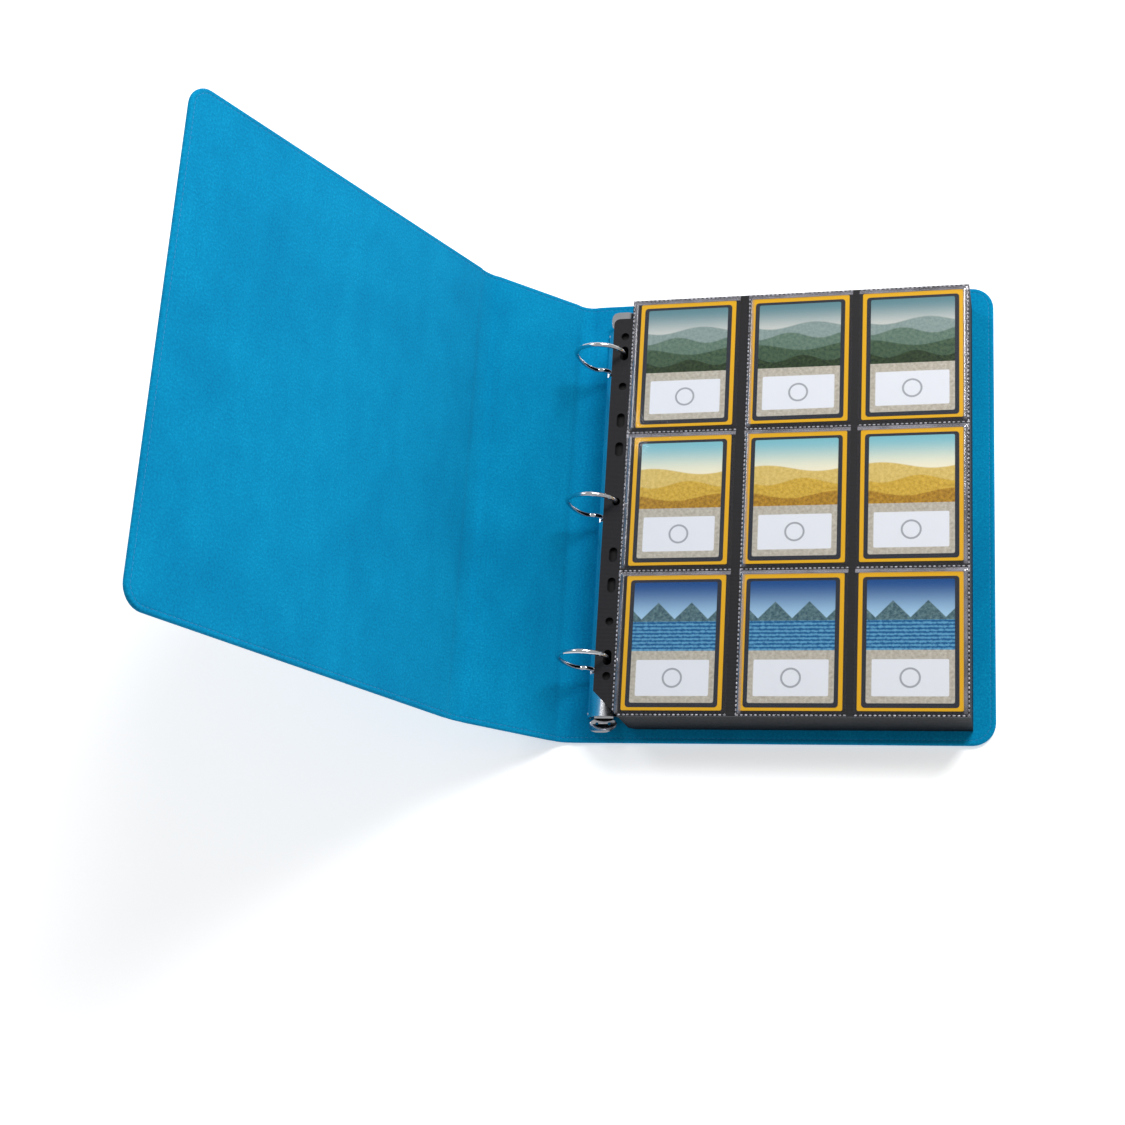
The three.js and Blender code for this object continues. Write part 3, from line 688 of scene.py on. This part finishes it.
def rounded_copy(node, body, finish, edge, sharp=28):
    """The node's shape merged, its hard edges broken by edge, shaded smooth elsewhere."""
    mesh = frame["nodes"][node].data.copy()
    mesh.materials.clear()
    mesh.materials.append(finish)
    shape = bmesh.new()
    shape.from_mesh(mesh)
    bmesh.ops.remove_doubles(shape, verts=shape.verts, dist=0.005 * MM)
    bmesh.ops.dissolve_limit(shape, angle_limit=math.radians(1), verts=shape.verts, edges=shape.edges)
    for face in shape.faces:
        face.smooth = True
        face.material_index = 0
    for one in shape.edges:
        if len(one.link_faces) == 2 and one.calc_face_angle(0) > math.radians(sharp):
            one.smooth = False
    shape.to_mesh(mesh)
    shape.free()
    piece = bpy.data.objects.new("shaped_" + node, mesh)
    bpy.context.scene.collection.objects.link(piece)
    piece.matrix_world = Matrix.Identity(4)
    broken = piece.modifiers.new("broken_edges", "BEVEL")
    broken.width = edge
    broken.segments = 2
    broken.limit_method = "ANGLE"
    broken.angle_limit = math.radians(sharp)
    broken.harden_normals = True
    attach(piece, body)
    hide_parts(node)
    return piece


satin_nickel, pen, shader = finish_named("satin_nickel", Metallic=1.0)
place = pen.node("TexCoord", out=3)
handled_metal = pen.noise(place, 90.0, 3.0)
drawn = pen.noise(place, 700.0, 2.0, 0.5, (1, 0.08, 1))
pen.feed(shader["Base Color"], handled_metal.tint(rgb(214, 216, 222), rgb(240, 241, 246)))
pen.feed(shader["Roughness"], 0.16 + drawn * 0.1 + handled_metal * 0.06)
bump(pen, shader, drawn, 0.00002, 0.5)

rounded_copy("ring_shield", "back_cover", satin_nickel, 0.25 * MM)
for end in ("top", "bottom"):
    rounded_copy("rivet_" + end, "back_cover", nickel, 0.2 * MM)
    rounded_copy("lever_" + end, end + "_lever", nickel, 0.3 * MM)
for node in ("hinge_plate_left", "hinge_plate_right", "lever_pin_top", "lever_pin_bottom"):
    paint(node, zinc)

# ---- Lower pages ---------------------------------------------------------------------
# Nineteen pages under the top one. Each is a black polypropylene sheet between two
# layers of clear pockets, so its cut edges show as fine dark and grey lines.
sheet_low, sheet_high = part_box("top_page_sheet")
rear_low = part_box("top_page_rear_pockets")[0]
PAGE_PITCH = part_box("page_19")[1].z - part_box("page_18")[1].z
hole_x = mech_x + LEG_OFF
POCKET_PITCH = (sheet_high.y - sheet_low.y) / 3
POCKET_WIDE = (sheet_high.x - hole_x - 4.65 * MM) / 3

page_black, pen, shader = finish_named("page_black", Roughness=0.5)
shader["Specular IOR Level"].default_value = 0.2
place = pen.node("TexCoord", out=3)
depth = pen.node("SeparateXYZ", None, 2, Vector=place)
layer = (depth * (1 / PAGE_PITCH) + 0.13).wrap(1.0)
film_line = layer.step(0.55, 0.62) * (1 - layer.step(0.70, 0.80))
second_line = layer.step(0.05, 0.10) * (1 - layer.step(0.16, 0.24))
patchy = pen.noise(place, 60.0, 3.0, 0.6, (1, 1, 6))
edge = (film_line * 0.8 + second_line * 0.45) * patchy.step(0.25, 0.75)
grain = pen.noise(place, 900.0, 2.0)
black = grain.tint(rgb(5, 5, 6), rgb(14, 14, 16))
columns = ((pen.node("SeparateXYZ", None, 0, Vector=place) - sheet_high.x) * (1 / POCKET_WIDE)).wrap(1.0)
lanes = ((pen.node("SeparateXYZ", None, 1, Vector=place) - sheet_low.y) * (1 / POCKET_PITCH)).wrap(1.0)
welds = (abs(columns - 0.03).step(0.013, 0.007) + abs(lanes - 0.012).step(0.011, 0.006)).least(1.0)
welds = welds * (depth - rear_low.z + 0.8 * MM).step(0, 0.2 * MM)
pen.feed(shader["Base Color"], (edge + welds * 0.5).least(1.0).tint(black, rgb(66, 68, 74)))
pen.feed(shader["Roughness"], 0.42 + grain * 0.25)
bump(pen, shader, grain * 0.4 - layer.step(0.8, 0.9) * 0.6, 0.0002, 0.6)
for number in range(1, 20):
    paint(f"page_{number:02d}", page_black)

# ---- Top page: black sheet ------------------------------------------------------------
# 0.4 mm black polypropylene with a fine ribbed grain. Its binding strip is punched
# with three round holes each side and slots that take the rings.
sheet_black, pen, shader = finish_named("sheet_black", Coat_Roughness=0.2)
shader["Specular IOR Level"].default_value = 0.22
place = pen.node("TexCoord", out=3)
up = pen.node("SeparateXYZ", None, 1, Vector=place)
rib = (up * (1 / (0.9 * MM))).wrap(1.0)
ribs = rib.step(0.1, 0.45) * (1 - rib.step(0.55, 0.9))
grain = pen.noise(place, 1100.0, 3.0, 0.65)
pen.feed(shader["Base Color"], (ribs * 0.6 + grain * 0.5).tint(rgb(14, 13, 15), rgb(38, 36, 39)))
pen.feed(shader["Roughness"], 0.38 + grain * 0.2)
bump(pen, shader, ribs * 0.5 + grain * 0.5, 0.00016, 0.7)
paint("top_page_sheet", sheet_black)

rear_film, pen, shader = finish_named("rear_pocket_film", Roughness=0.25)
place = pen.node("TexCoord", out=3)
cloud = pen.noise(place, 30.0, 2.0)
pen.feed(shader["Base Color"], cloud.tint(rgb(38, 40, 44), rgb(58, 60, 66)))
pen.feed(shader["Roughness"], 0.15 + cloud * 0.3)
paint("top_page_rear_pockets", rear_film)

# ---- Sleeved cards ---------------------------------------------------------------------
# Standard 63 x 88 mm cards in gold-edged clear sleeves of 66 x 91 mm. Each face has a
# dark border, a plain landscape and a blank pale panel with a ring, all in millimetres.
GOLD_SIDE = 2.75 * MM
GOLD_TOP = 3.1 * MM
GOLD_FOOT = 2.1 * MM
SLEEVE_R = 1.2 * MM
CARD_R = 2.2 * MM
FACE_HALF = 27.5
FACE_TOP = 40.5
ART_LOW = -6.0
PANEL_HALF = 24.0
PANEL_LOW = -36.0
PANEL_HIGH = -12.0
RING_MARK = 6.0


def plate_points(x0, x1, y0, y1, r, z, steps=5):
    points = []
    for cx, cy, first in ((x1 - r, y0 + r, -90), (x1 - r, y1 - r, 0), (x0 + r, y1 - r, 90),
                          (x0 + r, y0 + r, 180)):
        for k in range(steps + 1):
            a = math.radians(first + 90 * k / steps)
            points.append((cx + r * math.cos(a), cy + r * math.sin(a), z))
    return points


def plate(levels):
    """A closed plate from rings of points at rising levels: (points, faces)."""
    points = [p for ring in levels for p in ring]
    n = len(levels[0])
    faces = [tuple(reversed(range(n)))]
    for j in range(len(levels) - 1):
        for k in range(n):
            a, b = j * n + k, j * n + (k + 1) % n
            faces.append((a, b, b + n, a + n))
    faces.append(tuple(range((len(levels) - 1) * n, len(points))))
    return points, faces


def card_finish(name, picture):
    """Card face material; UV is millimetres from the sleeve's middle, over 100."""
    material, pen, shader = finish_named(name, Specular_IOR_Level=0.12)
    place = pen.node("UVMap", {"uv_map": "surface"})
    x = pen.node("SeparateXYZ", None, 0, Vector=place) * 100.0
    y = pen.node("SeparateXYZ", None, 1, Vector=place) * 100.0

    def inside(half_wide, low, high, r):
        """A rounded rectangle on the card's middle line, as a mask."""
        across = abs(x) - (half_wide - r)
        along = abs(y - (low + high) / 2) - ((high - low) / 2 - r)
        a, b = across.most(0.0), along.most(0.0)
        away = pen.math("SQRT", a * a + b * b) + across.most(along).least(0.0) - r
        return away.step(0.15, -0.15)

    grain = pen.noise(place, 45.0, 5.0, 0.65)
    face = picture(pen, x, (y - ART_LOW) * (1 / (FACE_TOP - ART_LOW)), grain)
    paper = grain.step(0.25, 0.75).tint(rgb(170, 162, 146), rgb(206, 200, 186))
    face = y.step(ART_LOW + 0.15, ART_LOW - 0.15).tint(face, paper)
    face = inside(PANEL_HALF, PANEL_LOW, PANEL_HIGH, 1.0).tint(face, rgb(230, 232, 236))
    dy = y - (PANEL_LOW + PANEL_HIGH) / 2
    ring = abs(pen.math("SQRT", x * x + dy * dy) - RING_MARK).step(0.8, 0.5)
    face = (ring * 0.7).tint(face, rgb(128, 132, 138))
    slate = pen.noise(place, 400.0, 2.0).tint(rgb(38, 42, 50), rgb(54, 58, 66))
    framed = inside(FACE_HALF, -FACE_TOP, FACE_TOP, 1.2)
    pen.feed(shader["Base Color"], framed.tint(slate, face))
    pen.feed(shader["Roughness"], 0.28 + grain * 0.1)
    return material


def ranges(pen, picture, x, t, grain, bands):
    """Waved bands of land in front of a picture: (height, wave, start, dark, light)."""
    for height, wave, start, dark, light in bands:
        edge = t - height - pen.math("SINE", x * wave + start) * 0.05
        land = grain.step(0.3, 0.7).tint(dark, light)
        picture = edge.step(0.012, -0.012).tint(picture, land)
    return picture


def hills(pen, x, t, grain):
    """Hazy sky over four ranges of green hills."""
    sky = t.step(0.5, 1.0).tint(rgb(212, 212, 204), rgb(96, 138, 146))
    return ranges(pen, sky, x, t, grain, (
        (0.66, 0.11, 0.5, rgb(128, 148, 144), rgb(150, 166, 160)),
        (0.50, 0.15, 2.6, rgb(86, 112, 100), rgb(112, 136, 118)),
        (0.32, 0.10, 4.4, rgb(52, 76, 60), rgb(80, 104, 76)),
        (0.14, 0.17, 1.2, rgb(24, 40, 28), rgb(56, 76, 44)),
    ))


def dunes(pen, x, t, grain):
    """Pale sky over three ranges of sand."""
    sky = t.step(0.5, 1.0).tint(rgb(240, 234, 206), rgb(128, 190, 200))
    return ranges(pen, sky, x, t, grain, (
        (0.56, 0.09, 3.4, rgb(206, 178, 96), rgb(226, 200, 120)),
        (0.36, 0.13, 0.9, rgb(190, 152, 52), rgb(222, 186, 76)),
        (0.16, 0.10, 5.1, rgb(146, 106, 30), rgb(196, 150, 48)),
    ))


def lake(pen, x, t, grain):
    """Blue sky over a row of even peaks and rippled water."""
    sky = t.step(0.4, 1.0).tint(rgb(168, 206, 230), rgb(24, 78, 140))
    peaks = t - 0.46 - pen.math("PINGPONG", x + 66.0, 11.0) * 0.022
    rock = grain.step(0.3, 0.7).tint(rgb(52, 84, 96), rgb(104, 134, 138))
    sky = peaks.step(0.01, -0.01).tint(sky, rock)
    ripple = (pen.math("SINE", t * 120.0) * 0.15 + grain).step(0.35, 0.7)
    return t.step(0.43, 0.42).tint(sky, ripple.tint(rgb(24, 92, 142), rgb(96, 164, 200)))


gold, pen, shader = finish_named("gold_sleeve_edge", Specular_IOR_Level=0.2)
place = pen.node("UVMap", {"uv_map": "surface"})
grain = pen.noise(place, 500.0, 2.0)
pen.feed(shader["Base Color"], grain.tint(rgb(222, 164, 8), rgb(240, 186, 22)))
pen.feed(shader["Roughness"], 0.25 + grain * 0.12)
pictures = (card_finish("card_hills", hills), card_finish("card_dunes", dunes),
            card_finish("card_lake", lake))

for row in (1, 2, 3):
    for column in (1, 2, 3):
        node = f"sleeved_card_r{row}c{column}"
        low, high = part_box(node)
        cx, cy = (low.x + high.x) / 2, (low.y + high.y) / 2
        step = 0.12 * MM
        thick = high.z - low.z - 0.2 * MM
        outer = (low.x, high.x, low.y, high.y)
        inner = (low.x + step, high.x - step, low.y + step, high.y - step)
        sleeve, sleeve_faces = plate([
            plate_points(*inner, SLEEVE_R, low.z),
            plate_points(*outer, SLEEVE_R, low.z + step),
            plate_points(*outer, SLEEVE_R, low.z + thick - step),
            plate_points(*inner, SLEEVE_R, low.z + thick),
        ])
        x0, x1 = low.x + GOLD_SIDE, high.x - GOLD_SIDE
        y0, y1 = low.y + GOLD_FOOT, high.y - GOLD_TOP
        z0, z1 = low.z + thick + 0.01 * MM, high.z
        edge = 0.06 * MM
        card, card_faces = plate([
            plate_points(x0, x1, y0, y1, CARD_R, z0),
            plate_points(x0, x1, y0, y1, CARD_R, z1 - edge),
            plate_points(x0 + edge, x1 - edge, y0 + edge, y1 - edge, CARD_R, z1),
        ])
        points = sleeve + card
        faces = sleeve_faces + [tuple(i + len(sleeve) for i in f) for f in card_faces]
        uvs = [((p[0] - cx) * 10, (p[1] - cy) * 10) for p in points]
        piece = solid(f"card_r{row}c{column}", points, faces, [gold, pictures[row - 1]], uvs, 35)
        for polygon in piece.data.polygons:
            if polygon.index >= len(sleeve_faces):
                polygon.material_index = 1
        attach(piece, f"card_r{row}c{column}")
        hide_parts(node)

# ---- Pocket films and welds -------------------------------------------------------------
# One strip of clear 0.1 mm film for each column, welded down between the rows and along
# one side, so it slopes up from each weld on to the cards and lies nearly flat on them.
FILM_THICK = 0.1 * MM
SLOPE_SIDE = {"left": 2.2 * MM, "middle": 1.05 * MM, "right": 2.1 * MM}
SLOPE_ROW = 2.1 * MM
WELD_HALF = 1.15 * MM
FILM_LYING = 0.13 * MM
film_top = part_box("top_page_film_left")[1].z
sheet_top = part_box("top_page_sheet")[1].z

# Painted reflection: in the pale bands beside the welds, set by a point attribute of the film, a grey
# diffuse layer is mixed in and the mirror weight is raised. Both stand for light reflected off the film's
# slopes.
clear_film = bpy.data.materials.new("clear_film")
clear_film.use_nodes = True
clear_film.node_tree.nodes.clear()
pen = Wire(clear_film.node_tree)
haze = pen.node("Attribute", {"attribute_name": "haze"}, 2)
place = pen.node("TexCoord", out=3)
# Noise that breaks up the painted reflection band.
reflection_patchiness = pen.noise(place, 60.0, 4.0, 0.6)
ripple = pen.noise(place, 26.0, 2.0, 0.5, (1, 0.5, 1))
lifted = pen.node("Bump", Height=ripple, Distance=0.0005, Strength=0.5)
mirror = pen.node("BsdfPrincipled", Base_Color=(0.95, 0.95, 0.97), Metallic=1.0,
                  Roughness=0.09, Normal=lifted)
pale_reflection_shader = pen.node("BsdfPrincipled", Base_Color=(0.48, 0.46, 0.52), Roughness=0.3, Normal=lifted)
through = pen.node("BsdfTransparent", Color=(0.985, 0.985, 0.99))
body = pen.node("MixShader", _0=haze * (0.12 + reflection_patchiness.step(0.3, 0.7) * 0.26), _1=through, _2=pale_reflection_shader)
gloss = pen.node("Fresnel", IOR=1.45, Normal=lifted) * (0.35 + haze * 1.0)
skin = pen.node("MixShader", _0=gloss, _1=body, _2=mirror)
pen.node("OutputMaterial", out=None, Surface=skin)

corner_a = (hole_x + 16.65 * MM, mech_y - 155.0 * MM)
corner_b = (hole_x - 14.3 * MM, mech_y - 124.5 * MM)


def above_corner_cut(x, y):
    """y, or the height of the slanting corner cut at x where that is higher."""
    slope = (corner_b[1] - corner_a[1]) / (corner_b[0] - corner_a[0])
    return max(y, corner_a[1] + (x - corner_a[0]) * slope)


def eased(t):
    t = min(max(t, 0), 1)
    return t * t * (3 - 2 * t)


def film_sheet(name, low, high, weld_left, slope_side):
    xs, ys = [], []
    width = high.x - low.x
    near = [0, 0.6, 1.2, 1.5, 1.8, 2.2, 2.7, 3.4, 4.0, 4.6, 5.2, 6.0]
    side = [v * MM for v in near] + [width * k / 22 for k in range(3, 22)] + [width - 1.5 * MM, width]
    for v in sorted(side):
        xs.append(low.x + v if weld_left else high.x - v)
    xs.sort()
    lanes = [low.y + POCKET_PITCH * k for k in range(4)]
    for a, b in zip(lanes, lanes[1:]):
        for v in (0, 0.7, 1.2, 1.45, 1.7, 2.0, 2.5, 3.0, 3.6, 4.1, 4.6, 6.0):
            ys += [a + v * MM, b - v * MM]
        ys += [a + POCKET_PITCH * k / 18 for k in range(2, 17)]
    ys = sorted(set(round(v, 7) for v in ys))
    flat = sheet_top + FILM_LYING

    def lift(x, y):
        """Height of the film at x, y, and the weight of the painted reflection band there."""
        off_side = (x - low.x) if weld_left else (high.x - x)
        lane = min(abs(y - v) for v in lanes)
        above = min((v - y for v in lanes if v >= y - 1e-7), default=0)
        risen = eased((off_side - WELD_HALF) / slope_side) * eased((lane - WELD_HALF) / SLOPE_ROW)
        wave = 0.035 * MM * (math.sin(x * 310 + y * 60) + math.sin(y * 190 - x * 80 + 1.3)) + 0.07 * MM
        z = flat + (film_top + wave - flat) * risen
        # Painted reflection: a pale band just below each row weld, where the film slopes up on to the
        # card's top edge, and a weaker one along the side weld.
        head = eased((above - 0.7 * MM) / (0.5 * MM)) * (1 - eased((above - 3.3 * MM) / (0.8 * MM)))
        side = eased((off_side - 1.3 * MM) / (0.5 * MM)) * (1 - eased((off_side - 3.0 * MM) / (1.6 * MM)))
        return z, max(head, side * 0.75 * eased((lane - WELD_HALF) / MM))

    points, faces, reflection_weights = [], [], []
    for drop in (0, FILM_THICK):
        for x in xs:
            for y in ys:
                z, reflection_weight = lift(x, y)
                points.append((x, above_corner_cut(x, y), z - drop))
                reflection_weights.append(reflection_weight)
    nx, ny = len(xs), len(ys)
    for i in range(nx - 1):
        for j in range(ny - 1):
            a = i * ny + j
            top = (a, a + ny, a + ny + 1, a + 1)
            faces += [top, tuple(k + nx * ny for k in reversed(top))]
    rim = [i * ny for i in range(nx)] + [(nx - 1) * ny + j for j in range(1, ny)]
    rim += [i * ny + ny - 1 for i in range(nx - 2, -1, -1)] + [j for j in range(ny - 2, 0, -1)]
    for a, b in zip(rim, rim[1:] + rim[:1]):
        faces.append((b, a, a + nx * ny, b + nx * ny))
    piece = solid(name, points, faces, clear_film, smooth_below=40)
    layer = piece.data.attributes.new("haze", "FLOAT", "POINT")
    layer.data.foreach_set("value", reflection_weights)
    return piece


for side, weld_left in (("left", True), ("middle", True), ("right", False)):
    node = "top_page_film_" + side
    low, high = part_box(node)
    film = film_sheet("pocket_film_" + side, low, high, weld_left, SLOPE_SIDE[side])
    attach(film, "top_page")
    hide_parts(node)

# Weld beads: the press leaves a line of small raised lozenges along every weld.
BEAD_PITCH = 2.9 * MM
BEAD_LONG = 2.1 * MM
BEAD_WIDE = 1.15 * MM
BEAD_HIGH = 0.5 * MM
BEAD_LIFT = 0.16 * MM
BEAD_INSET = 0.75 * MM

bead_film, pen, shader = finish_named("weld_bead", Coat_Weight=0.5, Coat_Roughness=0.1)
place = pen.node("TexCoord", out=3)
cloud = pen.noise(place, 420.0, 2.0)
# The beads' pale grey is painted highlight, standing for the light their raised sides catch.
pen.feed(shader["Base Color"], cloud.step(0.35, 0.65).tint(rgb(120, 118, 124), rgb(196, 194, 202)))
pen.feed(shader["Roughness"], 0.22 + cloud * 0.2)

beads = stitch_tree()
beads.name = "line_of_beads"
link_nodes(beads, bead_film, "GeometryNodeMeshUVSphere", {"Segments": 4, "Rings": 3, "Radius": 0.5},
           ("Wide", "Thick", "Long"))
lines = []
bead_z = sheet_top + BEAD_LIFT
for side, weld_left in (("left", True), ("middle", True), ("right", False)):
    low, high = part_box("top_page_film_" + side)
    x = low.x + BEAD_INSET if weld_left else high.x - BEAD_INSET
    foot = above_corner_cut(x, low.y) + 1.2 * MM
    lines.append([(x, foot, bead_z), (x, high.y - 0.7 * MM, bead_z)])
    for k in range(4):
        y = low.y + POCKET_PITCH * k
        y = min(max(y, low.y + BEAD_INSET), high.y - BEAD_INSET)
        x0 = low.x + (5.0 if side == "left" and k == 0 else 1.6) * MM
        lines.append([(x0, y, bead_z), (high.x - 0.9 * MM, y, bead_z)])
weld_line = lines_through_tree("weld_beads", lines, beads,
                               {"Pitch": BEAD_PITCH, "Long": BEAD_LONG, "Wide": BEAD_WIDE,
                                "Thick": BEAD_HIGH}, bead_film)
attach(weld_line, "top_page")
